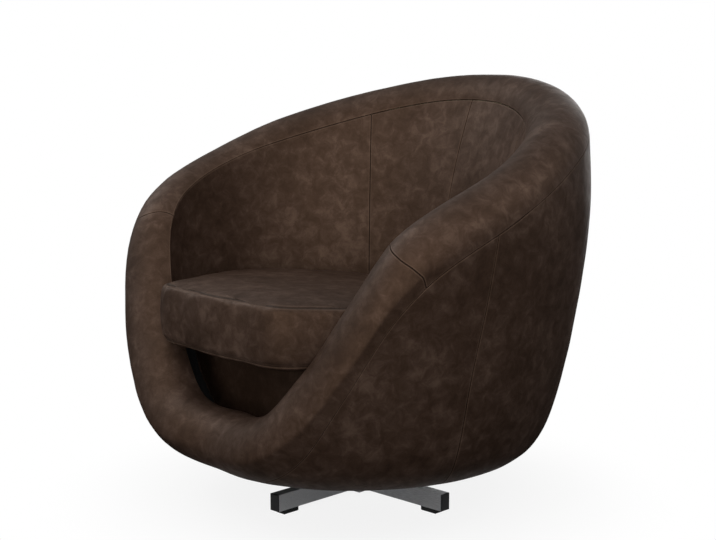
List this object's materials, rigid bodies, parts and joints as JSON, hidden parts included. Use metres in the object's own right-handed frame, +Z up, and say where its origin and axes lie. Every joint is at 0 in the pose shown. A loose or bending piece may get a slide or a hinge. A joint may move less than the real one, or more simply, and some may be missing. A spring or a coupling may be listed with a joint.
{
  "type": "swivel armchair",
  "caption": "Round tub armchair with a padded roll round its rim and a loose seat cushion, on a swivel with a low flat steel cross.",
  "frame": {"origin": "on the floor, on the swivel axis, at the middle of the cross", "axes": "+Z up along the swivel axis, -Y towards the chair's open front, +X to the right of someone who faces the chair"},
  "size_m": [0.876, 0.7579, 0.7596],
  "materials": {
    "bearing_steel": "polished",
    "black_cloth": "woven lining",
    "black_plastic": "moulded, satin",
    "black_rubber": "matt",
    "brown_leather": "dark brown pull-up hide, satin",
    "brushed_base_steel": "brushed and polished",
    "felt": "needled felt",
    "fibreboard": "pressed board",
    "plywood": "birch plywood, unfinished",
    "seat_foam": "polyurethane foam",
    "spring_steel": "black oxide",
    "white_nylon": "moulded",
    "zinc_plated_steel": "bright zinc plated",
    "zip_nylon": "dark brown coil zip"
  },
  "bodies": {
    "base": {"base_hub": "brushed_base_steel", "base_arm_right": "brushed_base_steel", "base_arm_back": "brushed_base_steel", "base_arm_left": "brushed_base_steel", "base_arm_front": "brushed_base_steel", "arm_end_cap_right": "black_plastic", "arm_end_cap_back": "black_plastic", "arm_end_cap_left": "black_plastic", "arm_end_cap_front": "black_plastic", "foot_glide_right": "black_rubber", "foot_glide_back": "black_rubber", "foot_glide_left": "black_rubber", "foot_glide_front": "black_rubber", "glide_screws": "zinc_plated_steel", "swivel_bottom_plate": "zinc_plated_steel", "bearing_balls": "bearing_steel", "bearing_cage": "white_nylon", "pivot_bolt": "zinc_plated_steel", "pivot_nut_and_washer": "zinc_plated_steel", "hub_bolts": "zinc_plated_steel"},
    "tub": {"apron_board": "plywood", "apron_cover": "brown_leather", "base_board": "plywood", "dust_cover": "black_cloth", "inner_back_panel_left": "brown_leather", "inner_back_panel_right": "brown_leather", "inner_side_panel_left": "brown_leather", "inner_side_panel_right": "brown_leather", "inner_wall_foam": "seat_foam", "outer_back_panel": "brown_leather", "outer_liner": "fibreboard", "outer_side_panel_left": "brown_leather", "outer_side_panel_right": "brown_leather", "outer_wadding": "seat_foam", "plate_bolts": "zinc_plated_steel", "rib_back": "plywood", "rib_left_back": "plywood", "rib_left_front": "plywood", "rib_left_side": "plywood", "rib_right_back": "plywood", "rib_right_front": "plywood", "rib_right_side": "plywood", "rim_cover_front": "brown_leather", "rim_cover_upper": "brown_leather", "rim_foam_front": "seat_foam", "rim_foam_upper": "seat_foam", "rim_hoop": "plywood", "seat_deck_cloth": "black_cloth", "seat_deck_pad": "felt", "seat_ring_left": "plywood", "seat_ring_right": "plywood", "seat_springs": "spring_steel", "spring_clips": "spring_steel", "swivel_top_plate": "zinc_plated_steel", "well_lining": "felt"},
    "cushion": {"cushion_bottom_panel": "brown_leather", "cushion_border": "brown_leather", "cushion_top_panel": "brown_leather", "cushion_zip": "zip_nylon", "cushion_foam": "seat_foam"}
  },
  "joints": [
    {"name": "seat_swivel", "type": "hinge", "parent": "base", "child": "tub", "pos_m": [0, 0, 0.05], "axis": [0, 0, 1], "continuous": true},
    {"name": "cushion_lift", "type": "slide", "parent": "tub", "child": "cushion", "axis": [0, 0, 1], "range_m": [0, 0.3]}
  ]
}
